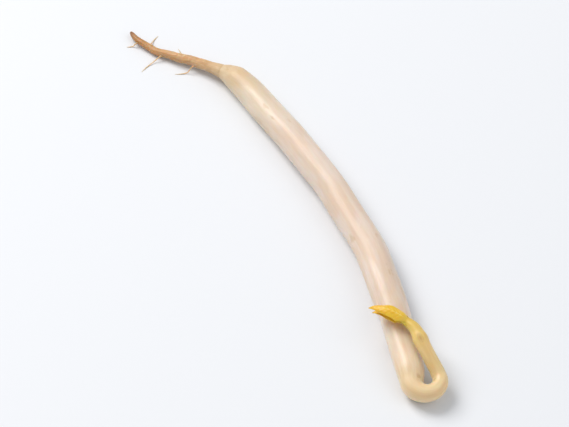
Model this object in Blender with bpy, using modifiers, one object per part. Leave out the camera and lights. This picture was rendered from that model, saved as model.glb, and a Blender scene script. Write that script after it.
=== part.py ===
"""A mung bean sprout lying on a level surface.

A plump white stem runs from the shoulder above the root to the head. There it narrows, turns
back on itself in a hook, and ends in a thin neck that climbs over the stem's own flank. The
neck carries the folded pair of first leaves, which lie across the stem. At the other end the
shoulder narrows to a thin curved root. The seed leaves have dropped off, and only the slight
swelling that held them is left on the neck.

Metres, +Z up. +X runs along the sprout towards its head. The origin is the middle of the
footprint, on the surface that the sprout rests on.
"""

import math
from bisect import bisect

import bmesh
import bpy
import numpy as np
from mathutils import Euler, Vector

MM = 0.001
NODE_GAP = 0.3  # mm between one piece and the next

# Columns of the stations below, in mm and degrees. The heading is the way the piece runs in
# plan, turned from +X. A tube's last two columns are its radius and its underside's height, and
# a leaf pair's third column is its rise above the end of the neck.
DISTANCE, HEADING, RADIUS, UNDERSIDE = range(4)
RISE = 2

# The stem, from the shoulder to the end of the neck. An underside below 0 is pressed flat by
# the surface: that happens near the shoulder, at mid length and behind the hook.
STEM = (
    (0.0, 47.0, 0.78, 0.66),
    (1.2, 42.0, 1.14, 0.34),
    (3.0, 32.0, 1.55, 0.04),
    (6.6, 23.5, 1.78, -0.14),
    (18.0, 22.0, 1.85, 0.14),
    (31.0, 13.5, 1.95, -0.14),
    (41.0, 4.5, 2.00, 0.10),
    (50.0, 2.0, 1.82, -0.14),
    (53.0, -2.0, 1.70, 0.00),
    (54.9, -6.0, 1.42, 0.20),
    (57.6, 88.0, 1.08, 0.64),
    (60.4, 190.0, 0.90, 1.10),
    (61.6, 204.0, 0.85, 1.76),
    (62.8, 202.0, 0.84, 2.50),
    (63.9, 198.0, 0.86, 2.96),
    (64.8, 192.0, 0.92, 3.16),
    (65.7, 194.0, 0.78, 3.46),
    (66.7, 214.0, 0.66, 3.80),
)
STEM_SIDES = 20

# The root, from the shoulder to its tip.
ROOT = (
    (0.0, 227.0, 0.74, 0.68),
    (2.5, 232.0, 0.66, 0.46),
    (6.0, 239.0, 0.56, 0.22),
    (10.0, 224.0, 0.43, 0.20),
    (12.8, 206.0, 0.31, 0.30),
    (13.4, 202.0, 0.16, 0.46),
)
ROOT_SIDES = 12
RING_SPACING = 0.45  # share of the local radius
ROUTE_STEPS = 2000
SHARP_EDGE = 50.0  # degrees; only the tubes' end faces are sharper

# The middle of the leaf pair, from the neck to the tips.
LEAF_PAIR = (
    (0.0, 220.0, 0.00),
    (1.3, 230.0, 0.46),
    (2.8, 236.0, 0.66),
    (4.4, 239.0, 0.26),
    (6.2, 240.0, -0.64),
)
LEAF_SLOPE_STEP = 0.1
LEAF_BASE_GAP = 0.45  # wider than the other gaps, because the rising blades lean back over it
LEAF_THICKNESS = 0.6
LEAF_HALF_WIDTH = 0.76
LEAF_END_HALF_WIDTH = 0.20
LEAF_ARCH = 0.18  # how far the long edges lie below the midrib at the widest place
LEAF_WIDEST_SKEW = 0.8  # under 1 puts the widest place nearer to the neck
LEAF_FULLNESS = 0.75
LEAF_GRID = (16, 6)  # cells along and across
# Each leaf's length, its turn away from the pair's middle in degrees, and how far its tip has
# opened upwards from the other leaf.
UPPER_LEAF = {"length": 5.0, "splay": 2.0, "opening": 0.18}
LOWER_LEAF = {"length": 5.3, "splay": -2.0, "opening": -0.20}

SURFACE_CUTTER = (0.12, 0.08, 0.01)  # metres


def clear_scene():
    """Removes whatever the file opened with."""
    for obj in list(bpy.data.objects):
        bpy.data.objects.remove(obj, do_unlink=True)


def new_collection(name):
    collection = bpy.data.collections.new(name)
    bpy.context.scene.collection.children.link(collection)
    return collection


def plain_material(name, colour, roughness):
    material = bpy.data.materials.new(name)
    material.use_nodes = True
    shader = material.node_tree.nodes["Principled BSDF"]
    shader.inputs["Base Color"].default_value = (*colour, 1.0)
    shader.inputs["Roughness"].default_value = roughness
    shader.inputs["Metallic"].default_value = 0.0
    return material


def station_slopes(places, values):
    """Slopes at the stations that make the curve through them smooth, without overshoot."""
    slopes = [0.0]
    for i in range(1, len(places) - 1):
        before = (values[i] - values[i - 1]) / (places[i] - places[i - 1])
        after = (values[i + 1] - values[i]) / (places[i + 1] - places[i])
        same_way = before * after > 0
        slopes.append(2 * before * after / (before + after) if same_way else 0.0)
    return slopes + [0.0]


def column_of(stations, column):
    return [station[column] for station in stations]


def eased(stations, column, distance):
    """One column's value at a distance along the piece, by a cubic between its stations."""
    places = column_of(stations, DISTANCE)
    values = column_of(stations, column)
    slopes = station_slopes(places, values)
    i = min(max(bisect(places, distance) - 1, 0), len(places) - 2)
    span = places[i + 1] - places[i]
    t = (distance - places[i]) / span
    on_start = values[i] * (1 + 2 * t) * (1 - t) ** 2
    on_end = values[i + 1] * (3 - 2 * t) * t**2
    bends = slopes[i] * t * (1 - t) ** 2 - slopes[i + 1] * t**2 * (1 - t)
    return on_start + on_end + span * bends


def heading_at(stations, distance):
    """The heading in radians. Between stations it turns evenly, so that the piece is an arc."""
    headings = column_of(stations, HEADING)
    return np.radians(np.interp(distance, column_of(stations, DISTANCE), headings))


def plan_route(stations, start, distances):
    """Plan positions at the distances, from a start point."""
    fine = np.linspace(0.0, stations[-1][DISTANCE], ROUTE_STEPS)
    heading = heading_at(stations, fine)
    step = fine[1] - fine[0]
    x = start[0] + step * np.concatenate(([0.0], np.cumsum(np.cos(heading[:-1]))))
    y = start[1] + step * np.concatenate(([0.0], np.cumsum(np.sin(heading[:-1]))))
    return [(np.interp(d, fine, x), np.interp(d, fine, y)) for d in distances]


def ring_distances(stations):
    """Distances of the tube's rings, closer together where it is thin."""
    distances = [0.0]
    while distances[-1] < stations[-1][DISTANCE]:
        radius = eased(stations, RADIUS, distances[-1])
        distances.append(distances[-1] + RING_SPACING * radius)
    distances[-1] = stations[-1][DISTANCE]
    return distances


def tapered_tube(name, stations, start, sides, collection, material):
    """A closed tube along the stations, made as a bevelled curve and turned into a mesh."""
    distances = ring_distances(stations)
    plan = plan_route(stations, start, distances)
    curve = bpy.data.curves.new(name, "CURVE")
    curve.dimensions = "3D"
    curve.twist_mode = "MINIMUM"
    curve.bevel_depth = MM
    curve.bevel_resolution = (sides - 4) // 2
    curve.use_fill_caps = True
    spline = curve.splines.new("POLY")
    spline.points.add(len(distances) - 1)
    for point, distance, (x, y) in zip(spline.points, distances, plan):
        radius = eased(stations, RADIUS, distance)
        z = eased(stations, UNDERSIDE, distance) + radius
        point.co = (x * MM, y * MM, z * MM, 1.0)
        point.radius = radius
    guide = bpy.data.objects.new(name + "_guide", curve)
    collection.objects.link(guide)
    graph = bpy.context.evaluated_depsgraph_get()
    mesh = bpy.data.meshes.new_from_object(guide.evaluated_get(graph))
    bpy.data.objects.remove(guide, do_unlink=True)
    weld_caps(mesh)
    mesh.shade_smooth()
    mesh.set_sharp_from_angle(angle=math.radians(SHARP_EDGE))
    mesh.materials.clear()
    mesh.materials.append(material)
    tube = bpy.data.objects.new(name, mesh)
    collection.objects.link(tube)
    return tube


def weld_caps(mesh):
    """The caps that fill a curve's ends are loose until they are welded to its sides."""
    bm = bmesh.new()
    bm.from_mesh(mesh)
    bmesh.ops.remove_doubles(bm, verts=bm.verts, dist=0.001 * MM)
    bmesh.ops.recalc_face_normals(bm, faces=bm.faces)
    bm.to_mesh(mesh)
    bm.free()


def surface_cutter(collection):
    """The block below the surface, which takes off what the sprout's weight presses flat."""
    bm = bmesh.new()
    bmesh.ops.create_cube(bm, size=1.0)
    bmesh.ops.scale(bm, vec=SURFACE_CUTTER, verts=bm.verts)
    mesh = bpy.data.meshes.new("surface_cutter")
    bm.to_mesh(mesh)
    bm.free()
    cutter = bpy.data.objects.new("surface_cutter", mesh)
    collection.objects.link(cutter)
    cutter.location.z = -SURFACE_CUTTER[2] / 2
    cutter.hide_render = True
    cutter.display_type = "WIRE"
    return cutter


def white_stem(collection, cutter):
    """Stem, hook and neck, which grow as one, with the resting spots cut flat."""
    material = plain_material("stem_white", (0.90, 0.84, 0.74), 0.35)
    stem = tapered_tube("stem", STEM, (0.0, 0.0), STEM_SIDES, collection, material)
    modifier = stem.modifiers.new("resting_spots", "BOOLEAN")
    modifier.operation = "DIFFERENCE"
    modifier.solver = "EXACT"
    modifier.object = cutter
    return stem


def tan_root(collection):
    """The root, which starts a gap's width below the stem's shoulder."""
    material = plain_material("root_tan", (0.62, 0.42, 0.24), 0.6)
    heading = heading_at(ROOT, 0.0)
    start = (NODE_GAP * math.cos(heading), NODE_GAP * math.sin(heading))
    return tapered_tube("taproot", ROOT, start, ROOT_SIDES, collection, material)


def leaf_pair_base():
    """Where the leaf pair starts, just past the end of the neck."""
    length = STEM[-1][DISTANCE]
    x, y = plan_route(STEM, (0.0, 0.0), [length])[0]
    heading = heading_at(LEAF_PAIR, 0.0)
    past_neck = Vector((math.cos(heading), math.sin(heading), 0.0)) * LEAF_BASE_GAP
    return Vector((x, y, STEM[-1][UNDERSIDE] + STEM[-1][RADIUS])) + past_neck


def leaf_half_width(share):
    """Half the blade's width at a share of its length: lance-shaped, with blunt ends."""
    bulge = math.sin(math.pi * share**LEAF_WIDEST_SKEW) ** LEAF_FULLNESS
    return LEAF_END_HALF_WIDTH + (LEAF_HALF_WIDTH - LEAF_END_HALF_WIDTH) * bulge


def leaf_point(share, across, leaf, offset):
    """A point of the blade's middle surface; across runs from -1 to 1 over its width."""
    distance = share * leaf["length"]
    splay = math.radians(leaf["splay"])
    heading = splay + heading_at(LEAF_PAIR, distance)
    x, y = plan_route(LEAF_PAIR, (0.0, 0.0), [distance])[0]
    along_middle = Vector((x, y, eased(LEAF_PAIR, RISE, distance)))
    along_middle.rotate(Euler((0.0, 0.0, splay)))
    ahead = eased(LEAF_PAIR, RISE, distance + LEAF_SLOPE_STEP)
    behind = eased(LEAF_PAIR, RISE, max(distance - LEAF_SLOPE_STEP, 0.0))
    pitch = math.atan2(ahead - behind, 2 * LEAF_SLOPE_STEP)
    aside = Vector((-math.sin(heading), math.cos(heading), 0.0))
    ahead_in_plan = Vector((math.cos(heading), math.sin(heading), 0.0))
    upright = Vector((0.0, 0.0, math.cos(pitch))) - ahead_in_plan * math.sin(pitch)
    beside = across * leaf_half_width(share)
    # The arch is equally round all along, so that the thick blade doesn't fold into itself.
    arch = LEAF_ARCH * (beside / LEAF_HALF_WIDTH) ** 2
    height = offset + leaf["opening"] * share**2 - arch
    return along_middle + aside * beside + upright * height


def leaf_blade(name, leaf, offset, collection, material):
    """A flat grid bent to the blade's shape, then given its thickness."""
    base = leaf_pair_base()
    bm = bmesh.new()
    bmesh.ops.create_grid(bm, x_segments=LEAF_GRID[0], y_segments=LEAF_GRID[1], size=0.5)
    for vertex in bm.verts:
        share = vertex.co.x + 0.5
        across = 2 * vertex.co.y
        vertex.co = (base + leaf_point(share, across, leaf, offset)) * MM
    mesh = bpy.data.meshes.new(name)
    bm.to_mesh(mesh)
    bm.free()
    mesh.shade_smooth()
    mesh.materials.append(material)
    blade = bpy.data.objects.new(name, mesh)
    collection.objects.link(blade)
    blade.modifiers.new("even_triangles", "TRIANGULATE")
    solidify = blade.modifiers.new("thickness", "SOLIDIFY")
    solidify.thickness = LEAF_THICKNESS * MM
    solidify.offset = 0.0
    return blade


def yellow_leaves(collection):
    """The first two leaves, one lying on the other across the stem."""
    material = plain_material("leaf_yellow", (0.78, 0.52, 0.06), 0.5)
    apart = (LEAF_THICKNESS + NODE_GAP) / 2
    upper = leaf_blade("leaf_upper", UPPER_LEAF, apart, collection, material)
    lower = leaf_blade("leaf_lower", LOWER_LEAF, -apart, collection, material)
    return [upper, lower]


def centre_on_footprint(pieces, collection):
    """Hangs the pieces on one empty, moved so that the footprint's middle is the origin."""
    graph = bpy.context.evaluated_depsgraph_get()
    corners = []
    for piece in pieces:
        evaluated = piece.evaluated_get(graph)
        corners += [evaluated.matrix_world @ vertex.co for vertex in evaluated.data.vertices]
    axes = bpy.data.objects.new("sprout_axes", None)
    collection.objects.link(axes)
    for piece in pieces:
        piece.parent = axes
    axes.location.x = -(min(c.x for c in corners) + max(c.x for c in corners)) / 2
    axes.location.y = -(min(c.y for c in corners) + max(c.y for c in corners)) / 2
    bpy.context.view_layer.update()


def build():
    clear_scene()
    parts = new_collection("mung_bean_sprout")
    cutters = new_collection("cutters")
    stem = white_stem(parts, surface_cutter(cutters))
    root = tan_root(parts)
    centre_on_footprint([stem, root, *yellow_leaves(parts)], parts)


build()
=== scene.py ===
import math
import random
from bisect import bisect

import bmesh
import bpy
import numpy as np
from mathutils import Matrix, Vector, noise


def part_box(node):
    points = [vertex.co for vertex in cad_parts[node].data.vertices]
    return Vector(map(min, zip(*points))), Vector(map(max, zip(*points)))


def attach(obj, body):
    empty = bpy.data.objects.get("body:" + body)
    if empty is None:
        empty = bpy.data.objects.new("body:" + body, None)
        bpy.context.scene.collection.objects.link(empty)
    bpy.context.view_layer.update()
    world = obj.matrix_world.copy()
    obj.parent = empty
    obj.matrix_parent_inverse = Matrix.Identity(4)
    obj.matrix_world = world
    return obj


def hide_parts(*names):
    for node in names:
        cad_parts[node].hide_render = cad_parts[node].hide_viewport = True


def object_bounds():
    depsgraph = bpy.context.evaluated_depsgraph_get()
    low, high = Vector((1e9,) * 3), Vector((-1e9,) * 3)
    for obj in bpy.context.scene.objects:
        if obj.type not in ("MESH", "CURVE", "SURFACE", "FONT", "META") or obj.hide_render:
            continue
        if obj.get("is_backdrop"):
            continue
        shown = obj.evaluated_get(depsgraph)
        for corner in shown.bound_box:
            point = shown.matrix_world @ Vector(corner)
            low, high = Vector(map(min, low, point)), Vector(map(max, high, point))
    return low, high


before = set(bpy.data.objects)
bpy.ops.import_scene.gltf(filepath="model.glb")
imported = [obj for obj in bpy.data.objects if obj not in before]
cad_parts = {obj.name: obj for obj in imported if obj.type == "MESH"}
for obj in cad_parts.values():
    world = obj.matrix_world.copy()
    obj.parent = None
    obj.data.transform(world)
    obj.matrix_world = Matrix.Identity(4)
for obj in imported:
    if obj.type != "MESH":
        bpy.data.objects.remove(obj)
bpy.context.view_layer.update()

# ---- Stem --------------------------------------------------------------------------------------
# The stem is the young shoot below the seed leaves: crisp, watery white flesh under a thin moist
# skin. It grew in one piece with the hook at its head and the neck that comes back over its
# flank. It is drawn out ring by ring along the middle line that the solid stem follows.

MM = 0.001  # the pieces are drawn in mm

# Columns of a route, in mm and degrees: distance along the piece, heading in plan, radius of the
# flesh there, and height of its underside over the table.
DISTANCE, HEADING, RADIUS, UNDERSIDE = range(4)
STEM = (
    (-0.7, 47.0, 0.50, 0.92),
    (0.0, 47.0, 0.76, 0.68),
    (1.2, 42.0, 1.14, 0.34),
    (3.0, 32.0, 1.55, 0.04),
    (6.6, 23.5, 1.78, -0.14),
    (18.0, 22.0, 1.85, 0.14),
    (31.0, 13.5, 1.95, -0.14),
    (41.0, 4.5, 2.00, 0.10),
    (50.0, 2.0, 1.82, -0.14),
    (53.0, -2.0, 1.70, 0.00),
    (54.9, -6.0, 1.42, 0.20),
    (57.6, 88.0, 1.08, 0.64),
    (60.4, 190.0, 0.90, 1.10),
    (61.6, 204.0, 0.85, 1.76),
    (62.8, 202.0, 0.84, 2.50),
    (63.9, 198.0, 0.86, 2.96),
    (64.8, 192.0, 0.92, 3.16),
    (65.7, 194.0, 0.78, 3.46),
    (66.7, 214.0, 0.66, 3.80),
    (67.4, 222.0, 0.57, 3.94),
    (68.0, 227.0, 0.45, 4.22),
    (68.2, 228.0, 0.28, 4.45),
)
STEM_FIRST, STEM_LAST = STEM[0][DISTANCE], STEM[-1][DISTANCE]
SOLID_START, SOLID_END = 0.0, 66.7  # the stretch that the solid stem has
STEM_SIDES = 96
STEM_RING_STEP = 0.16


def column_of(stations, column):
    return [station[column] for station in stations]


def station_slopes(places, values):
    """Slopes at the stations that let no cubic between them swing past its two ends."""
    slopes = [0.0]
    for i in range(1, len(places) - 1):
        before = (values[i] - values[i - 1]) / (places[i] - places[i - 1])
        after = (values[i + 1] - values[i]) / (places[i + 1] - places[i])
        same_way = before * after > 0
        slopes.append(2 * before * after / (before + after) if same_way else 0.0)
    return slopes + [0.0]


def eased(stations, column, distance):
    """One column's value at a distance along the piece, by a cubic between its stations."""
    places = column_of(stations, DISTANCE)
    values = column_of(stations, column)
    slopes = station_slopes(places, values)
    i = min(max(bisect(places, distance) - 1, 0), len(places) - 2)
    span = places[i + 1] - places[i]
    t = (distance - places[i]) / span
    on_start = values[i] * (1 + 2 * t) * (1 - t) ** 2
    on_end = values[i + 1] * (3 - 2 * t) * t**2
    bends = slopes[i] * t * (1 - t) ** 2 - slopes[i + 1] * t**2 * (1 - t)
    return on_start + on_end + span * bends


def heading_at(stations, distance):
    """Heading in radians, which turns evenly from one station to the next."""
    headings = column_of(stations, HEADING)
    return np.radians(np.interp(distance, column_of(stations, DISTANCE), headings))


ROUTE_STEPS = 2000  # short straight steps that a route's bends are added up from


def plan_route(stations, start, distances):
    """Plan positions at the distances, for a route whose first station is at the start point."""
    fine = np.linspace(stations[0][DISTANCE], stations[-1][DISTANCE], ROUTE_STEPS)
    heading = heading_at(stations, fine)
    step = fine[1] - fine[0]
    x = start[0] + step * np.concatenate(([0.0], np.cumsum(np.cos(heading[:-1]))))
    y = start[1] + step * np.concatenate(([0.0], np.cumsum(np.sin(heading[:-1]))))
    return np.column_stack((np.interp(distances, fine, x), np.interp(distances, fine, y)))


def tube_rings(stations, start, step):
    """Evenly spaced rings: distance, middle, axes to the left and upwards, and radius."""
    first, last = stations[0][DISTANCE], stations[-1][DISTANCE]
    count = math.ceil((last - first) / step) + 1
    distances = np.linspace(first, last, count)
    plan = plan_route(stations, start, distances)
    radii = [eased(stations, RADIUS, d) for d in distances]
    heights = [eased(stations, UNDERSIDE, d) + r for d, r in zip(distances, radii)]
    middles = [Vector((x, y, z)) for (x, y), z in zip(plan, heights)]
    rings = []
    for i, (distance, middle, radius) in enumerate(zip(distances, middles, radii)):
        ahead = (middles[min(i + 1, count - 1)] - middles[max(i - 1, 0)]).normalized()
        left = Vector((0.0, 0.0, 1.0)).cross(ahead).normalized()
        rings.append((distance, middle, left, ahead.cross(left), radius))
    return rings


def new_flesh():
    """An empty mesh with the layers that the materials follow.

    "straight" is each point's place on the unbent piece, in mm, and "tint" says how far the flesh
    there is scarred, how much painted shade lies on it in a pleat or a wrinkle, or on a leaf how
    much of a vein it is.
    """
    bm = bmesh.new()
    bm.verts.layers.float.new("around")
    bm.verts.layers.float_vector.new("straight")
    bm.verts.layers.float.new("tint")
    return bm


def draw_out(bm, rings, sides, surface):
    """Adds a closed skin: a circle extruded once for each ring, each point set by surface()."""
    around = bm.verts.layers.float["around"]
    straight = bm.verts.layers.float_vector["straight"]
    tint = bm.verts.layers.float["tint"]
    loop = bmesh.ops.create_circle(bm, segments=sides, radius=1.0)["verts"]
    edges = list(dict.fromkeys(edge for vertex in loop for edge in vertex.link_edges))
    for vertex in loop:
        vertex[around] = math.atan2(vertex.co.y, vertex.co.x)
    ends = list(edges)
    for i, ring in enumerate(rings):
        if i:
            grown = bmesh.ops.extrude_edge_only(bm, edges=edges)["geom"]
            loop = [part for part in grown if isinstance(part, bmesh.types.BMVert)]
            new = set(loop)
            edges = [
                part for part in grown
                if isinstance(part, bmesh.types.BMEdge) and new.issuperset(part.verts)
            ]
        for vertex in loop:
            place, vertex[straight], vertex[tint] = surface(ring, vertex[around])
            vertex.co = place * MM
    bmesh.ops.holes_fill(bm, edges=ends + edges)


def finished_piece(name, bm, material):
    bmesh.ops.recalc_face_normals(bm, faces=bm.faces[:])
    mesh = bpy.data.meshes.new(name)
    bm.to_mesh(mesh)
    bm.free()
    mesh.shade_smooth()
    mesh.materials.append(material)
    piece = bpy.data.objects.new(name, mesh)
    bpy.context.scene.collection.objects.link(piece)
    return piece


def bell(offset, width):
    """1 where the offset is 0, fading to a third at the width and to nothing at about twice it."""
    return math.exp(-((offset / width) ** 2))


def clamped(share):
    return min(max(share, 0.0), 1.0)


def smoothed(share):
    """A share from 0 to 1 made to start and end softly."""
    share = clamped(share)
    return share**2 * (3 - 2 * share)


def window(distance, start, end, fade):
    """1 between start and end, easing to 0 over the fade on each side."""
    rise = clamped((distance - start) / fade + 1.0)
    fall = clamped((end - distance) / fade + 1.0)
    return smoothed(rise * fall)


def unevenness(around, distance, across, along, seed):
    """Smooth random relief on a tube, about -0.5 to 0.5, with no seam."""
    place = (across * math.cos(around), across * math.sin(around), along * distance + seed)
    return noise.noise(Vector(place))


def low_corner(stations):
    """Lowest x and y that the solid tube reaches, for a route that starts at the origin."""
    rings = tube_rings(stations, (0.0, 0.0), STEM_RING_STEP)
    rings = [ring for ring in rings if SOLID_START <= ring[0] <= SOLID_END]
    headings = [heading_at(stations, ring[0]) for ring in rings]
    low_x = min(r[1].x - r[4] * abs(math.sin(h)) for r, h in zip(rings, headings))
    low_y = min(r[1].y - r[4] * abs(math.cos(h)) for r, h in zip(rings, headings))
    return low_x, low_y


# Relief is a height in mm, waves round the stem, waves along it, and a place in the noise. It
# runs from slow swellings of the whole stem down to its fibres.
STEM_RELIEF = (
    (0.13, 0.7, 0.14, 0.0),
    (0.05, 1.4, 0.4, 9.0),
    (0.014, 4.5, 0.25, 21.0),
    (0.006, 9.0, 0.9, 33.0),
)
FULL_RELIEF_RADIUS = 1.7  # a slimmer stretch is smoother
OVAL, OVAL_FACING, OVAL_TWIST = 0.02, 0.5, 0.03  # share of the radius, radians, radians to a mm
SWAY, SWAY_WAVES, SWAY_SEED = 0.22, 0.13, 5.0
SWAY_START, SWAY_END, SWAY_FADE = 8.0, 48.0, 6.0

# A shallow groove runs along the upper side and winds a little. Its width is in radians.
GROOVE_START, GROOVE_END, GROOVE_FADE = 9.0, 45.0, 8.0
GROOVE_FACING, GROOVE_TWIST = 1.1, 0.012
GROOVE_WIDTH, GROOVE_DEPTH = 0.4, 0.045

# The hook's inner side is pressed in and pleated, with painted shade in stripes along the pleats.
HOOK_START, HOOK_END, HOOK_FADE = 55.0, 60.4, 1.6
PLEAT_LENGTH, PLEAT_SLANT, PLEAT_DEPTH, PLEAT_PAINTED_SHADE = 0.85, 1.2, 0.035, 0.3
HOOK_PRESS = 0.03

# The stem bulges on one side where it narrows to the root, and its skin is lumpy there.
SHOULDER, SHOULDER_LENGTH, SHOULDER_BULGE = 2.1, 1.3, 0.16
COLLAR_START, COLLAR_END, COLLAR_FADE = -1.0, 1.5, 2.5
COLLAR_LUMPS = (0.05, 2.2, 2.4, 40.0)

# Each seed leaf left a scar on the neck: a ragged oval dent with a low rim.
SEED_LEAF_NODE = 64.7
SEED_LEAF_SCARS = (math.radians(80), math.radians(256))
SCAR_HALF_LENGTH, SCAR_HALF_WIDTH = 0.62, 0.32
SCAR_RAGGEDNESS = (0.25, 3.0, 3.0, 12.0)
SCAR_DEPTH, SCAR_RIM = 0.05, 0.035


def uneven_by(relief, around, distance):
    height, across, along, seed = relief
    return height * unevenness(around, distance, across, along, seed)


def scar_reach(distance, around, radius, facing):
    """How far a point is from the middle of a seed leaf's scar, where 1 is the scar's rim."""
    turn = math.remainder(around - facing, 2 * math.pi)
    along, across = (distance - SEED_LEAF_NODE) / SCAR_HALF_LENGTH, turn * radius / SCAR_HALF_WIDTH
    return (1.0 + uneven_by(SCAR_RAGGEDNESS, around, distance)) * math.hypot(along, across)


def groove_at(distance, around):
    turn = math.remainder(around - GROOVE_FACING - GROOVE_TWIST * distance, 2 * math.pi)
    return window(distance, GROOVE_START, GROOVE_END, GROOVE_FADE) * bell(turn, GROOVE_WIDTH)


def stem_surface(ring, around):
    """A point of the stem's skin, its place on the unbent stem, and its tint."""
    distance, middle, left, up, radius = ring
    side, top = math.cos(around), math.sin(around)
    relief = OVAL * radius * math.cos(2 * (around - OVAL_FACING - OVAL_TWIST * distance))
    for wave in STEM_RELIEF:
        relief += uneven_by(wave, around, distance)
    relief -= GROOVE_DEPTH * groove_at(distance, around)
    relief *= min(radius / FULL_RELIEF_RADIUS, 1.0)

    inside_hook = window(distance, HOOK_START, HOOK_END, HOOK_FADE) * max(side, 0.0) ** 2
    pleat = 0.5 + 0.5 * math.cos(2 * math.pi * distance / PLEAT_LENGTH + PLEAT_SLANT * top)
    relief -= inside_hook * (PLEAT_DEPTH * pleat + HOOK_PRESS)
    # Painted shade on the hook's inner side, in stripes along the pleats.
    pleat_painted_shade = PLEAT_PAINTED_SHADE * inside_hook * (1.0 - pleat)

    relief += SHOULDER_BULGE * bell(distance - SHOULDER, SHOULDER_LENGTH) * (0.5 + 0.5 * side)
    collar = window(distance, COLLAR_START, COLLAR_END, COLLAR_FADE)
    relief += collar * uneven_by(COLLAR_LUMPS, around, distance)

    scarred = 0.0
    for facing in SEED_LEAF_SCARS:
        reach = scar_reach(distance, around, radius, facing)
        relief += SCAR_RIM * bell(reach - 1.05, 0.25) - SCAR_DEPTH * bell(reach, 0.75)
        scarred = max(scarred, 0.7 * bell(reach, 0.8) + 0.3 * bell(reach - 0.9, 0.16))

    sway = SWAY * noise.noise(Vector((SWAY_WAVES * distance, SWAY_SEED, 0.0)))
    sway *= window(distance, SWAY_START, SWAY_END, SWAY_FADE)
    place = middle + left * (side * (radius + relief) + sway) + up * top * (radius + relief)
    place.z = max(place.z, 0.0)
    return place, Vector((radius * side, radius * top, distance)), max(scarred, pleat_painted_shade)


def new_material(name):
    material = bpy.data.materials.new(name)
    material.use_nodes = True
    return material, material.node_tree, material.node_tree.nodes["Principled BSDF"]


def add_node(tree, kind, **settings):
    node = tree.nodes.new(kind)
    for setting, value in settings.items():
        setattr(node, setting, value)
    return node


def ranged(tree, value, low, high, to_low, to_high, easing="SMOOTHSTEP"):
    node = add_node(tree, "ShaderNodeMapRange", interpolation_type=easing)
    tree.links.new(value, node.inputs["Value"])
    limits = {"From Min": low, "From Max": high, "To Min": to_low, "To Max": to_high}
    for name, limit in limits.items():
        node.inputs[name].default_value = limit
    return node.outputs["Result"]


def colour_along(tree, length, stops):
    """Colour by the length along the piece, from (mm, linear colour) stops."""
    start, end = stops[0][0], stops[-1][0]
    ramp = add_node(tree, "ShaderNodeValToRGB")
    ramp.color_ramp.interpolation = "EASE"
    elements = ramp.color_ramp.elements
    while len(elements) < len(stops):
        elements.new(1.0)
    for element, (place, colour) in zip(elements, stops):
        element.position = (place - start) / (end - start)
        element.color = (*colour, 1.0)
    tree.links.new(ranged(tree, length, start, end, 0.0, 1.0, "LINEAR"), ramp.inputs["Fac"])
    return ramp.outputs["Color"]


# A Mix node's colour sockets, which share their names with its other sockets.
MIX_FROM, MIX_TOWARDS, MIX_RESULT = 6, 7, 2


def blended(tree, colour, blend, mark, depths, tint, full=1.0):
    """The colour blended towards a tint, by one depth where the mark is 0 and one where it is full."""
    mix = add_node(tree, "ShaderNodeMix", data_type="RGBA", blend_type=blend)
    tree.links.new(ranged(tree, mark, 0.0, full, *depths), mix.inputs["Factor"])
    tree.links.new(colour, mix.inputs[MIX_FROM])
    mix.inputs[MIX_TOWARDS].default_value = (*tint, 1.0)
    return mix.outputs[MIX_RESULT]


def flesh_pattern():
    """Node group: the marks of fresh plant tissue, in the unbent piece's own millimetres.

    Fibres run lengthwise, clouds are soft patches, cells are the fine grain of the skin, and
    scuffs are a few small bruises.
    """
    group = bpy.data.node_groups.new("flesh_pattern", "ShaderNodeTree")
    face = group.interface
    face.new_socket("Place", in_out="INPUT", socket_type="NodeSocketVector")
    face.new_socket("Fineness", in_out="INPUT", socket_type="NodeSocketFloat").default_value = 1.0
    start = group.nodes.new("NodeGroupInput")
    end = group.nodes.new("NodeGroupOutput")
    # Mark, stretch along the piece, noise scale, detail, and the range that is spread to 0..1.
    marks = (
        ("Fibres", 0.05, 4.5, 2.0, 0.36, 0.64),
        ("Clouds", 0.22, 0.55, 3.0, 0.38, 0.62),
        ("Cells", 0.45, 11.0, 2.0, 0.3, 0.7),
        ("Scuffs", 0.5, 0.7, 4.0, 0.62, 0.74),
    )
    for mark, along, scale, detail, low, high in marks:
        face.new_socket(mark, in_out="OUTPUT", socket_type="NodeSocketFloat")
        placed = add_node(group, "ShaderNodeVectorMath", operation="MULTIPLY")
        group.links.new(start.outputs["Place"], placed.inputs[0])
        placed.inputs[1].default_value = (1.0, 1.0, along)
        finer = add_node(group, "ShaderNodeMath", operation="MULTIPLY")
        group.links.new(start.outputs["Fineness"], finer.inputs[0])
        finer.inputs[1].default_value = scale
        texture = add_node(group, "ShaderNodeTexNoise")
        texture.inputs["Detail"].default_value = detail
        group.links.new(placed.outputs[0], texture.inputs["Vector"])
        group.links.new(finer.outputs[0], texture.inputs["Scale"])
        group.links.new(ranged(group, texture.outputs["Fac"], low, high, 0.0, 1.0), end.inputs[mark])
    return group


flesh = flesh_pattern()


def flesh_marks(tree, fineness):
    """The pattern's outputs for a piece, the length along it and its tint."""
    straight = add_node(tree, "ShaderNodeAttribute", attribute_name="straight")
    marks = add_node(tree, "ShaderNodeGroup", node_tree=flesh)
    tree.links.new(straight.outputs["Vector"], marks.inputs["Place"])
    marks.inputs["Fineness"].default_value = fineness
    parts = add_node(tree, "ShaderNodeSeparateXYZ")
    tree.links.new(straight.outputs["Vector"], parts.inputs[0])
    tint = add_node(tree, "ShaderNodeAttribute", attribute_name="tint")
    return marks.outputs, parts.outputs["Z"], tint.outputs["Fac"]


def raise_marks(tree, shader, heights):
    """Chains a bump for each (mark, depth in mm) into the shader's normal."""
    normal = None
    for mark, depth in heights:
        bump = add_node(tree, "ShaderNodeBump")
        bump.inputs["Distance"].default_value = depth * MM
        tree.links.new(mark, bump.inputs["Height"])
        if normal is not None:
            tree.links.new(normal, bump.inputs["Normal"])
        normal = bump.outputs["Normal"]
    tree.links.new(normal, shader.inputs["Normal"])


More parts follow.
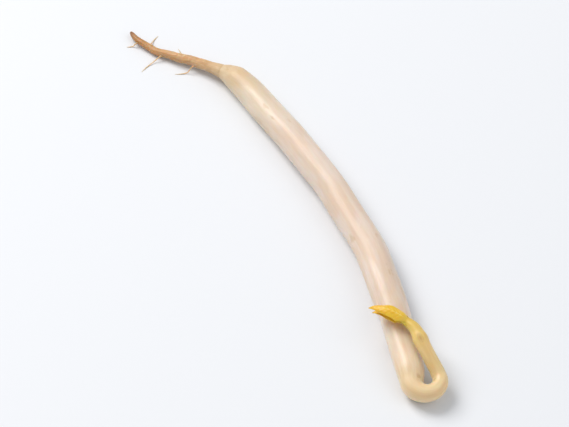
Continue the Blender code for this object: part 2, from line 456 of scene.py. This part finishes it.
def depth_of_glow(tree, shader, length, stops):
    """Lets light less deep into the flesh where one piece grows out of another."""
    glow = colour_along(tree, length, [(place, (share, share, share)) for place, share in stops])
    tree.links.new(glow, shader.inputs["Subsurface Weight"])


def set_finish(shader, **values):
    """Sets the shader's own sockets, each named with _ for its spaces."""
    for name, value in values.items():
        shader.inputs[name.replace("_", " ")].default_value = value


# Linear colours by the length along the stem: cream at the shoulder, pinkish white along the
# stem, warmer round the hook and yellow where the neck meets the leaves.
ROOT_END_CREAM = (0.67, 0.49, 0.29)
STEM_COLOURS = (
    (STEM_FIRST, ROOT_END_CREAM),
    (2.0, (0.70, 0.56, 0.38)),
    (7.0, (0.74, 0.64, 0.51)),
    (16.0, (0.76, 0.65, 0.565)),
    (43.0, (0.76, 0.645, 0.555)),
    (51.0, (0.78, 0.65, 0.51)),
    (56.5, (0.80, 0.65, 0.42)),
    (63.0, (0.79, 0.62, 0.32)),
    (65.8, (0.77, 0.57, 0.18)),
    (STEM_LAST, (0.73, 0.50, 0.06)),
)
STEM_GLOW = (
    (STEM_FIRST, 0.0), (0.4, 0.05), (4.0, 1.0), (63.0, 1.0), (66.0, 0.3), (STEM_LAST, 0.1),
)
STEM_FIBRE_SHADE = (0.90, 0.84, 0.76)
STEM_CLOUD_SHADE = (0.93, 0.85, 0.76)
BRUISE_BROWN = (0.50, 0.32, 0.14)
# Brown of the seed-leaf scars, also used for painted shade on the hook's inner pleats.
SCAR_BROWN_AND_PLEAT_SHADE = (0.46, 0.30, 0.12)


def stem_material():
    material, tree, shader = new_material("stem_flesh")
    marks, length, tint = flesh_marks(tree, 1.0)
    colour = colour_along(tree, length, STEM_COLOURS)
    colour = blended(tree, colour, "MULTIPLY", marks["Fibres"], (0.25, 0.0), STEM_FIBRE_SHADE)
    colour = blended(tree, colour, "MULTIPLY", marks["Clouds"], (0.0, 0.7), STEM_CLOUD_SHADE)
    colour = blended(tree, colour, "MIX", marks["Scuffs"], (0.0, 0.4), BRUISE_BROWN)
    # The tint paints the seed-leaf scars brown and paints shade in stripes on the hook's inner side.
    colour = blended(tree, colour, "MIX", tint, (0.0, 0.8), SCAR_BROWN_AND_PLEAT_SHADE)
    tree.links.new(colour, shader.inputs["Base Color"])
    tree.links.new(ranged(tree, marks["Clouds"], 0, 1, 0.32, 0.46), shader.inputs["Roughness"])
    depth_of_glow(tree, shader, length, STEM_GLOW)
    raise_marks(tree, shader, ((marks["Fibres"], 0.006), (marks["Cells"], 0.004)))
    set_finish(
        shader, Subsurface_Radius=(1.0, 0.68, 0.42),
        Subsurface_Scale=1.3 * MM, IOR=1.36, Coat_Weight=0.14, Coat_Roughness=0.2,
    )
    return material


stem_finish = stem_material()

# The route starts where its low corner falls on the solid stem's.
stem_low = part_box("stem")[0]
route_low = low_corner(STEM)
stem_start = (stem_low[0] / MM - route_low[0], stem_low[1] / MM - route_low[1])
stem_rings = tube_rings(STEM, stem_start, STEM_RING_STEP)

bm = new_flesh()
draw_out(bm, stem_rings, STEM_SIDES, stem_surface)
stem_skin = finished_piece("stem_skin", bm, stem_finish)
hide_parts("stem")
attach(stem_skin, "root")

# ---- Root --------------------------------------------------------------------------------------
# The root is a thin tapering thread, cream where it leaves the stem's shoulder and tan to brown
# towards its tip. It is softer than the stem, so it is a little shrunken and uneven. It flares
# where it grows out of the shoulder, so that the one skin runs into the other.

ROOT = (
    (-0.9, 227.0, 0.84, 0.62),
    (-0.55, 227.0, 0.88, 0.57),
    (0.0, 227.0, 0.80, 0.62),
    (1.0, 229.0, 0.71, 0.58),
    (2.5, 232.0, 0.66, 0.46),
    (6.0, 239.0, 0.56, 0.22),
    (10.0, 224.0, 0.43, 0.20),
    (12.8, 206.0, 0.31, 0.30),
    (13.3, 202.0, 0.20, 0.42),
    (13.45, 201.0, 0.06, 0.56),
)
ROOT_FIRST, ROOT_LAST = ROOT[0][DISTANCE], ROOT[-1][DISTANCE]
ROOT_SIDES = 48
ROOT_RING_STEP = 0.08
ROOT_GAP = 0.3  # from the solid stem's end to the solid root's

# Relief as on the stem, but its heights are shares of the radius.
ROOT_LUMPS = (0.14, 0.7, 0.5, 0.0)
ROOT_WRINKLES = (0.06, 1.3, 2.4, 4.0)
ROOT_FURROWS = (0.06, 2.8, 0.4, 8.0)
# How strongly painted shade darkens the sunk parts of the wrinkles.
WRINKLE_PAINTED_SHADE = 12.0
ROOT_HELD, ROOT_FREED_OVER = -0.6, 2.0  # the stem keeps it straight up to here, then lets go
ROOT_WANDER, ROOT_WANDER_WAVES = 0.16, 0.4
ROOT_WANDER_SEEDS = (3.0, 8.0)

# Small swellings where side roots were about to break out: distance, place around in radians.
NUB_COUNT, NUB_FIRST, NUB_STEP, NUB_SCATTER = 9, 1.6, 1.15, 0.4
NUB_HEIGHT, NUB_WIDTH = 0.07, 0.14
dice = random.Random(7)
ROOT_NUBS = []
for i in range(NUB_COUNT):
    nub = NUB_FIRST + NUB_STEP * i + dice.uniform(-NUB_SCATTER, NUB_SCATTER)
    ROOT_NUBS.append((nub, dice.uniform(-0.6, 3.7)))


def root_surface(ring, around):
    """A point of the root's skin, its place on the unbent root, and its painted wrinkle shade."""
    distance, middle, left, up, radius = ring
    side, top = math.cos(around), math.sin(around)
    free = clamped((distance - ROOT_HELD) / ROOT_FREED_OVER)
    lumps = uneven_by(ROOT_LUMPS, around, distance)
    wrinkles = uneven_by(ROOT_WRINKLES, around, distance)
    furrows = uneven_by(ROOT_FURROWS, around, distance)
    grown = radius * (1.0 + free * (lumps + wrinkles + furrows))
    for nub, facing in ROOT_NUBS:
        turn = math.remainder(around - facing, 2 * math.pi) * radius
        grown += NUB_HEIGHT * bell(math.hypot(distance - nub, turn), NUB_WIDTH)
    wander = Vector((0.0, 0.0, 0.0))
    for axis, seed in zip((left, up), ROOT_WANDER_SEEDS):
        wander += axis * ROOT_WANDER * noise.noise(Vector((ROOT_WANDER_WAVES * distance, seed, 0.0)))
    place = middle + wander * free + (left * side + up * top) * grown
    straight = Vector((radius * side, radius * top, distance))
    return place, straight, max(0.0, -WRINKLE_PAINTED_SHADE * wrinkles)


ROOT_COLOURS = (
    (ROOT_FIRST, ROOT_END_CREAM),
    (1.0, (0.67, 0.47, 0.27)),
    (4.5, (0.65, 0.43, 0.23)),
    (9.0, (0.58, 0.34, 0.15)),
    (12.0, (0.46, 0.24, 0.09)),
    (ROOT_LAST, (0.26, 0.13, 0.06)),
)
ROOT_GLOW = ((ROOT_FIRST, 0.0), (0.2, 0.05), (3.0, 0.9), (ROOT_LAST, 0.9))
ROOT_SHADE = (0.84, 0.72, 0.58)
# Painted shade for the sunk parts of the wrinkles.
WRINKLE_PAINTED_SHADE_COLOUR = (0.78, 0.62, 0.46)


def root_material():
    material, tree, shader = new_material("root_skin")
    marks, length, tint = flesh_marks(tree, 1.8)
    colour = colour_along(tree, length, ROOT_COLOURS)
    colour = blended(tree, colour, "MULTIPLY", marks["Fibres"], (0.35, 0.0), ROOT_SHADE)
    colour = blended(tree, colour, "MULTIPLY", marks["Clouds"], (0.0, 0.5), ROOT_SHADE)
    # Painted shade in the sunk parts of the wrinkles.
    colour = blended(tree, colour, "MULTIPLY", tint, (0.0, 0.6), WRINKLE_PAINTED_SHADE_COLOUR)
    tree.links.new(colour, shader.inputs["Base Color"])
    tree.links.new(ranged(tree, marks["Clouds"], 0, 1, 0.38, 0.55), shader.inputs["Roughness"])
    depth_of_glow(tree, shader, length, ROOT_GLOW)
    raise_marks(tree, shader, ((marks["Fibres"], 0.01), (marks["Cells"], 0.008)))
    set_finish(
        shader, Subsurface_Radius=(1.0, 0.5, 0.25),
        Subsurface_Scale=0.6 * MM, IOR=1.40, Coat_Weight=0.12, Coat_Roughness=0.3,
    )
    return material


root_finish = root_material()
away = heading_at(STEM, SOLID_START) + math.pi
root_inset = ROOT_GAP + ROOT_FIRST
stem_end = plan_route(STEM, stem_start, [SOLID_START])[0]
root_start = (stem_end[0] + root_inset * math.cos(away), stem_end[1] + root_inset * math.sin(away))

bm = new_flesh()
root_rings = tube_rings(ROOT, root_start, ROOT_RING_STEP)
draw_out(bm, root_rings, ROOT_SIDES, root_surface)
root_skin = finished_piece("taproot_skin", bm, root_finish)
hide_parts("taproot")
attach(root_skin, "root")

# ---- Side roots --------------------------------------------------------------------------------
# A few side roots had just broken out of the root. They are hair-thin, pale and limp, so they
# hang down from where they grew and trail on the table.

SIDE_ROOT_SIDES = 10
SIDE_ROOT_STEP = 0.07
SIDE_ROOT_SINK = 0.12  # how deep its foot sits in the root's skin
SIDE_ROOT_RADII = (0.11, 0.08, 0.06, 0.05, 0.02)
SIDE_ROOT_KNOTS = (0.25, 1.0, 3.0, 2.0)  # relief, in shares of the radius
SIDE_ROOT_COLOUR_AT = 2.0  # it is as pale as the root is this far along

# Distance along the root, turn away from the root's own heading in degrees, length, and the
# bend over that length in degrees.
SIDE_ROOTS = (
    (3.1, 62.0, 2.6, -38.0),
    (5.4, -70.0, 1.9, 30.0),
    (7.6, 48.0, 3.4, 34.0),
    (9.8, -52.0, 2.4, -42.0),
    (11.4, 66.0, 1.5, -20.0),
)


def nearest_ring(rings, distance):
    return min(rings, key=lambda ring: abs(ring[0] - distance))


def side_root_route(foot, heading, length, bend):
    """Stations of a side root: level as it leaves the root, then down, then along the table."""
    places = (0.0, 0.45, 0.4 * length, 0.7 * length, length)
    turned = (0.0, 0.2, 0.5, 0.8, 1.0)
    undersides = (foot.z - SIDE_ROOT_RADII[0], max(foot.z - 0.22, 0.1), 0.12, 0.02, 0.03)
    stations = zip(places, turned, SIDE_ROOT_RADII, undersides)
    return [(place, heading + share * bend, radius, low) for place, share, radius, low in stations]


def side_root_surface(ring, around):
    distance, middle, left, up, radius = ring
    side, top = math.cos(around), math.sin(around)
    grown = radius * (1.0 + uneven_by(SIDE_ROOT_KNOTS, around, distance))
    place = middle + (left * side + up * top) * grown
    return place, Vector((radius * side, radius * top, SIDE_ROOT_COLOUR_AT)), 0.0


bm = new_flesh()
for along, turn, length, bend in SIDE_ROOTS:
    _, middle, left, _, radius = nearest_ring(root_rings, along)
    foot = middle + left * math.copysign(radius - SIDE_ROOT_SINK, turn)
    heading = math.degrees(heading_at(ROOT, along)) + turn
    route = side_root_route(foot, heading, length, bend)
    side_root_rings = tube_rings(route, (foot.x, foot.y), SIDE_ROOT_STEP)
    draw_out(bm, side_root_rings, SIDE_ROOT_SIDES, side_root_surface)
side_roots = finished_piece("side_roots", bm, root_finish)
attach(side_roots, "root")

# ---- Leaf pair ---------------------------------------------------------------------------------
# The first two leaves are still folded together as they lay in the seed. Their blades are thin
# and bright yellow, because they grew in the dark, with a sunken midrib, side veins and a
# slightly curled, greener edge. Each grows from a short stalk at the end of the neck.

# Columns: distance, heading in plan, and rise above the end of the neck.
LEAF_PAIR = (
    (0.0, 220.0, 0.00),
    (1.3, 230.0, 0.46),
    (2.8, 236.0, 0.66),
    (4.4, 239.0, 0.26),
    (6.2, 240.0, -0.64),
)
RISE = 2
LEAF_SLOPE_STEP = 0.1
LEAF_BASE_GAP = 0.45  # from the solid neck's end to the base of the pair
LEAF_STALK_INSET = 0.5  # how far a stalk reaches back into the neck
LEAF_SIDES = 88
LEAF_RING_STEP = 0.05
LEAF_HALF_WIDTH = 0.72
LEAF_STALK_HALF_WIDTH = 0.40
LEAF_TIP_HALF_WIDTH = 0.012
LEAF_THICKNESS = 0.2
LEAF_STALK_THICKNESS = 0.48

# Shares of a leaf's length: where the stalk ends, the stretch over which it widens into the
# blade, and where the tip begins.
STALK_SHARE, WIDENING_SHARE, TIP_SHARE = 0.02, 0.3, 0.8
TIP_DROOP = 0.14
LEAF_VEINS, VEIN_SLANT, VEIN_WIDTH, VEIN_DEPTH = 10.0, 1.5, 0.16, 0.012
MIDRIB_WIDTH, MIDRIB_DEPTH = 0.08, 0.04
VEINS_BELOW = 1.7  # the veins stand out below by this many times what they are sunk above
PUCKER = 0.016
CRINKLE, CRINKLES_ACROSS, CRINKLES_ALONG = 0.07, 1.5, 1.1
EDGE_WAVE, EDGE_WAVES, EDGE_LAG = 0.08, 2.3, 1.2

# In mm and degrees: splay in plan, how far the blade and the stalk lie above the pair's middle,
# how much more the tip opens, and how strongly the blade is folded along its midrib. The phase
# is where the crinkles and the waves of the edge start, so that the two leaves differ.
LEAVES = (
    {"name": "leaf_upper", "length": 5.0, "splay": 2.0, "offset": 0.30, "opening": 0.18,
     "fold": 0.30, "phase": 0.4, "stalk": 0.22},
    {"name": "leaf_lower", "length": 5.3, "splay": -2.0, "offset": -0.40, "opening": -0.22,
     "fold": 0.20, "phase": 2.1, "stalk": -0.22},
)

neck_end = nearest_ring(stem_rings, SOLID_END)[1]
leaf_heading = heading_at(LEAF_PAIR, 0.0)
pair_ahead = Vector((math.cos(leaf_heading), math.sin(leaf_heading), 0.0))
pair_base = neck_end + pair_ahead * LEAF_BASE_GAP


def leaf_rings(leaf):
    """Rings from inside the neck's end to the leaf's tip: distance, middle, left, up, leaf."""
    count = math.ceil((leaf["length"] + LEAF_STALK_INSET) / LEAF_RING_STEP) + 1
    splay = math.radians(leaf["splay"])
    rings = []
    for distance in np.linspace(-LEAF_STALK_INSET, leaf["length"], count):
        on_pair = max(distance, 0.0)
        heading = splay + heading_at(LEAF_PAIR, on_pair)
        x, y = plan_route(LEAF_PAIR, (0.0, 0.0), [on_pair])[0]
        x, y = x * math.cos(splay) - y * math.sin(splay), x * math.sin(splay) + y * math.cos(splay)
        ahead_in_plan = Vector((math.cos(heading), math.sin(heading), 0.0))
        slope_to = eased(LEAF_PAIR, RISE, on_pair + LEAF_SLOPE_STEP)
        slope_from = eased(LEAF_PAIR, RISE, max(on_pair - LEAF_SLOPE_STEP, 0.0))
        pitch = math.atan2(slope_to - slope_from, 2 * LEAF_SLOPE_STEP)
        left = Vector((-math.sin(heading), math.cos(heading), 0.0))
        up = Vector((0.0, 0.0, math.cos(pitch))) - ahead_in_plan * math.sin(pitch)
        middle = pair_base + Vector((x, y, eased(LEAF_PAIR, RISE, on_pair)))
        middle += ahead_in_plan * min(distance, 0.0)
        rings.append((distance, middle, left, up, leaf))
    return rings


def leaf_half_width(share, blade):
    lance = math.sin(math.pi * min(share, 0.999) ** 0.8) ** 0.72
    stalk = LEAF_STALK_HALF_WIDTH * (1 - share) ** 2
    return max(stalk + LEAF_HALF_WIDTH * lance * blade, LEAF_TIP_HALF_WIDTH)


def leaf_thickness(share, blade):
    thickness = LEAF_STALK_THICKNESS + (LEAF_THICKNESS - LEAF_STALK_THICKNESS) * blade
    return thickness * min(1.0, 0.12 + 5.0 * (1 - share))


def leaf_veins(share, across, on_blade):
    """How much of the midrib, of a side vein and of the pucker between two veins a point is."""
    reach = abs(across)
    vein_turn = ((share * LEAF_VEINS - VEIN_SLANT * reach**1.2) % 1.0) - 0.5
    midrib = bell(across, MIDRIB_WIDTH) * on_blade
    vein = bell(vein_turn, VEIN_WIDTH) * on_blade * (1 - reach) ** 0.35
    pucker = (1 - math.cos(math.pi * vein_turn) ** 2) * math.sin(math.pi * reach) * on_blade
    return midrib, vein, pucker


def leaf_surface(ring, around):
    """A point of a leaf's skin, its place on the flat leaf, and its tint: 1 is vein, -1 is edge."""
    distance, middle, left, up, leaf = ring
    share = max(distance, 0.0) / leaf["length"]
    across, face = math.cos(around), math.sin(around)
    reach = abs(across)
    blade = smoothed((share - STALK_SHARE) / WIDENING_SHARE)
    tip = max(0.0, (share - TIP_SHARE) / (1.0 - TIP_SHARE))
    half_width = leaf_half_width(share, blade)
    narrowing = half_width / (LEAF_HALF_WIDTH + 0.1)
    midrib, vein, pucker = leaf_veins(share, across, blade * (1 - tip))

    height = leaf["stalk"] * (1 - blade) + leaf["offset"] * blade
    height += leaf["opening"] * share**2 - TIP_DROOP * tip**2
    height -= leaf["fold"] * narrowing * blade * (math.hypot(across, 0.18) - 0.18)
    crinkle_at = Vector((CRINKLES_ACROSS * across, CRINKLES_ALONG * distance, leaf["phase"]))
    height += blade * (CRINKLE * noise.noise(crinkle_at) + PUCKER * pucker)
    wave_at = 2 * math.pi * EDGE_WAVES * share + leaf["phase"] + EDGE_LAG * (across > 0)
    height += EDGE_WAVE * blade * narrowing * math.sin(wave_at) * reach**3

    relief = 0.5 * leaf_thickness(share, blade) * math.copysign(abs(face) ** 0.6, face)
    groove = MIDRIB_DEPTH * midrib + VEIN_DEPTH * vein
    relief -= groove if face > 0 else VEINS_BELOW * groove
    place = middle + left * across * half_width + up * (height + relief)
    straight = Vector((across * half_width, 0.4 * face, distance))
    return place, straight, min(1.0, 0.8 * midrib + 0.5 * vein) - reach**6 * blade


# Yellow-green at the stalk, bright yellow along the blade and browner at the tip.
LEAF_LAST = max(leaf["length"] for leaf in LEAVES)
LEAF_COLOURS = (
    (-LEAF_STALK_INSET, (0.70, 0.50, 0.10)),
    (0.6, (0.76, 0.52, 0.07)),
    (1.6, (0.80, 0.52, 0.035)),
    (4.6, (0.80, 0.48, 0.025)),
    (LEAF_LAST, (0.64, 0.33, 0.02)),
)
LEAF_CLOUD_SHADE = (0.96, 0.88, 0.66)
LEAF_CELL_SHADE = (0.92, 0.80, 0.55)
VEIN_CREAM = (0.86, 0.70, 0.22)
EDGE_GREEN = (0.58, 0.50, 0.05)


def leaf_material():
    material, tree, shader = new_material("leaf_yellow")
    marks, length, tint = flesh_marks(tree, 1.6)
    colour = colour_along(tree, length, LEAF_COLOURS)
    colour = blended(tree, colour, "MULTIPLY", marks["Clouds"], (0.0, 0.4), LEAF_CLOUD_SHADE)
    colour = blended(tree, colour, "MIX", tint, (0.0, 0.65), VEIN_CREAM)
    colour = blended(tree, colour, "MIX", tint, (0.0, 0.45), EDGE_GREEN, full=-1.0)
    colour = blended(tree, colour, "MULTIPLY", marks["Cells"], (0.25, 0.0), LEAF_CELL_SHADE)
    tree.links.new(colour, shader.inputs["Base Color"])
    tree.links.new(ranged(tree, marks["Clouds"], 0, 1, 0.36, 0.5), shader.inputs["Roughness"])
    raise_marks(tree, shader, ((marks["Clouds"], 0.01), (marks["Cells"], 0.006)))
    set_finish(
        shader, Subsurface_Weight=0.6, Subsurface_Radius=(1.0, 0.7, 0.1),
        Subsurface_Scale=0.35 * MM, IOR=1.42, Coat_Weight=0.15, Coat_Roughness=0.25,
    )
    return material


leaf_finish = leaf_material()
for leaf in LEAVES:
    bm = new_flesh()
    draw_out(bm, leaf_rings(leaf), LEAF_SIDES, leaf_surface)
    blade = finished_piece(leaf["name"] + "_blade", bm, leaf_finish)
    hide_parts(leaf["name"])
    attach(blade, "root")

# ---- Stipules ----------------------------------------------------------------------------------
# A stipule is a small pointed scale of leaf tissue. Two of them grow from the end of the neck
# and lie against the leaf stalks, one on each side, where they closed the bud.

STIPULE_LENGTH = 1.3
STIPULE_INSET = 0.45  # how far it reaches back from the base of the leaf pair
STIPULE_SIDES = 32
STIPULE_RING_STEP = 0.05
STIPULE_HALF_WIDTH = 0.30
STIPULE_TIP_HALF_WIDTH = 0.02
STIPULE_THICKNESS = 0.12
STIPULE_BASE_SHARE = 0.3  # of its length: the part that grows out of the neck
STIPULE_SUNK, STIPULE_CLEAR = 0.28, 0.45  # from the middle of the pair, at its foot and past its base
STIPULE_BULGE, STIPULE_TIP_FLARE = 0.10, 0.14
STIPULE_HUG = -0.9  # how strongly its edges wrap round the stalks
STIPULE_TURNS = (("left", 0.35), ("right", math.pi - 0.1))


def stipule_rings(turn):
    """Rings along a stipule that lies at a turn round the neck's end."""
    count = math.ceil(STIPULE_LENGTH / STIPULE_RING_STEP) + 1
    upward = Vector((0.0, 0.0, 1.0))
    sideways = upward.cross(pair_ahead)
    outward = sideways * math.cos(turn) + upward * math.sin(turn)
    wide = upward * math.cos(turn) - sideways * math.sin(turn)
    rings = []
    for distance in np.linspace(0.0, STIPULE_LENGTH, count):
        share = distance / STIPULE_LENGTH
        rise = eased(LEAF_PAIR, RISE, max(distance - STIPULE_INSET, 0.0))
        clear_of_neck = min(share / STIPULE_BASE_SHARE, 1.0)
        stand_off = STIPULE_SUNK + (STIPULE_CLEAR - STIPULE_SUNK) * clear_of_neck
        stand_off += STIPULE_BULGE * math.sin(math.pi * share) + STIPULE_TIP_FLARE * share**3
        middle = pair_base + pair_ahead * (distance - STIPULE_INSET)
        middle += upward * rise + outward * stand_off
        rings.append((distance, middle, wide, outward, share))
    return rings


def stipule_surface(ring, around):
    distance, middle, wide, outward, share = ring
    across, face = math.cos(around), math.sin(around)
    rounded = 0.55 + 0.45 * min(share / STIPULE_BASE_SHARE, 1.0)
    pointed = STIPULE_HALF_WIDTH * rounded * (1 - share**1.6) ** 0.8
    half_width = max(pointed, STIPULE_TIP_HALF_WIDTH)
    hug = STIPULE_HUG * half_width * across**2 * half_width / STIPULE_HALF_WIDTH
    thick = 0.5 * STIPULE_THICKNESS * face * (1.0 - 0.6 * share)
    place = middle + wide * across * half_width + outward * (hug + thick)
    return place, Vector((across * half_width, 0.2 * face, distance)), -0.6 * across**4


for side, turn in STIPULE_TURNS:
    bm = new_flesh()
    draw_out(bm, stipule_rings(turn), STIPULE_SIDES, stipule_surface)
    stipule = finished_piece("stipule_" + side, bm, leaf_finish)
    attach(stipule, "root")

# ---- Table, light and camera -------------------------------------------------------------------
# The sprout lies on a plain pale table under soft window-like light from behind and to the left,
# which throws a faint shadow to the lower right. The camera looks down from in front of the head.
# Sizes and distances in this section are in metres.

TABLE_HALF_WIDTH = 1.5
TABLE_COLOUR = (0.80, 0.815, 0.85, 1.0)
TABLE_GRAIN, TABLE_GRAIN_DEPTH = 260.0, 0.02  # grains to a metre, and mm


def table_material():
    material, tree, shader = new_material("pale_table")
    set_finish(shader, Base_Color=TABLE_COLOUR, Roughness=0.65)
    texture = add_node(tree, "ShaderNodeTexNoise")
    texture.inputs["Scale"].default_value = TABLE_GRAIN
    raise_marks(tree, shader, ((texture.outputs["Fac"], TABLE_GRAIN_DEPTH),))
    return material


bm = bmesh.new()
bmesh.ops.create_grid(bm, x_segments=1, y_segments=1, size=TABLE_HALF_WIDTH)
table = finished_piece("table", bm, table_material())
table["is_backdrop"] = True

AIM_SHIFT = Vector((0.0025, 0.0, 0.0))  # centres the sprout in the picture
CAMERA_AZIMUTH, CAMERA_ELEVATION = 80.0, 50.0
CAMERA_DISTANCE = 0.42
LENS = 222.0

low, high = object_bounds()
middle = (Vector(low) + Vector(high)) / 2 + AIM_SHIFT


def looking_from(azimuth, elevation, distance):
    """A place round the sprout: azimuth 0 looks along +Y, and 90 along -X."""
    a, e = math.radians(azimuth), math.radians(elevation)
    back = Vector((math.sin(a) * math.cos(e), -math.cos(a) * math.cos(e), math.sin(e)))
    return middle + back * distance


def aimed(obj, place):
    """Puts a camera or a lamp at a place, turned towards the sprout's middle."""
    obj.location = place
    obj.rotation_euler = (middle - place).to_track_quat("-Z", "Y").to_euler()
    bpy.context.scene.collection.objects.link(obj)


camera_data = bpy.data.cameras.new("camera")
camera_data.lens = LENS
camera_data.clip_start = 0.01
camera = bpy.data.objects.new("camera", camera_data)
aimed(camera, looking_from(CAMERA_AZIMUTH, CAMERA_ELEVATION, CAMERA_DISTANCE))
bpy.context.scene.camera = camera

# Name, azimuth, elevation, distance, size, watts and colour.
LAMPS = (
    ("window", CAMERA_AZIMUTH - 130.0, 48.0, 0.60, 0.35, 3.0, (1.0, 0.985, 0.96)),
    ("fill", CAMERA_AZIMUTH + 60.0, 40.0, 0.70, 0.60, 1.2, (0.98, 0.99, 1.0)),
)
for name, azimuth, elevation, distance, size, watts, colour in LAMPS:
    lamp_data = bpy.data.lights.new(name, "AREA")
    lamp_data.shape = "SQUARE"
    lamp_data.size = size
    lamp_data.energy = watts
    lamp_data.color = colour
    aimed(bpy.data.objects.new(name, lamp_data), looking_from(azimuth, elevation, distance))

ROOM_COLOUR, ROOM_STRENGTH = (0.96, 0.98, 1.0, 1.0), 0.46

world = bpy.data.worlds.new("pale_room")
bpy.context.scene.world = world
world.use_nodes = True
room_light = world.node_tree.nodes["Background"]
room_light.inputs["Color"].default_value = ROOM_COLOUR
room_light.inputs["Strength"].default_value = ROOM_STRENGTH
bpy.context.scene.view_settings.view_transform = "Standard"
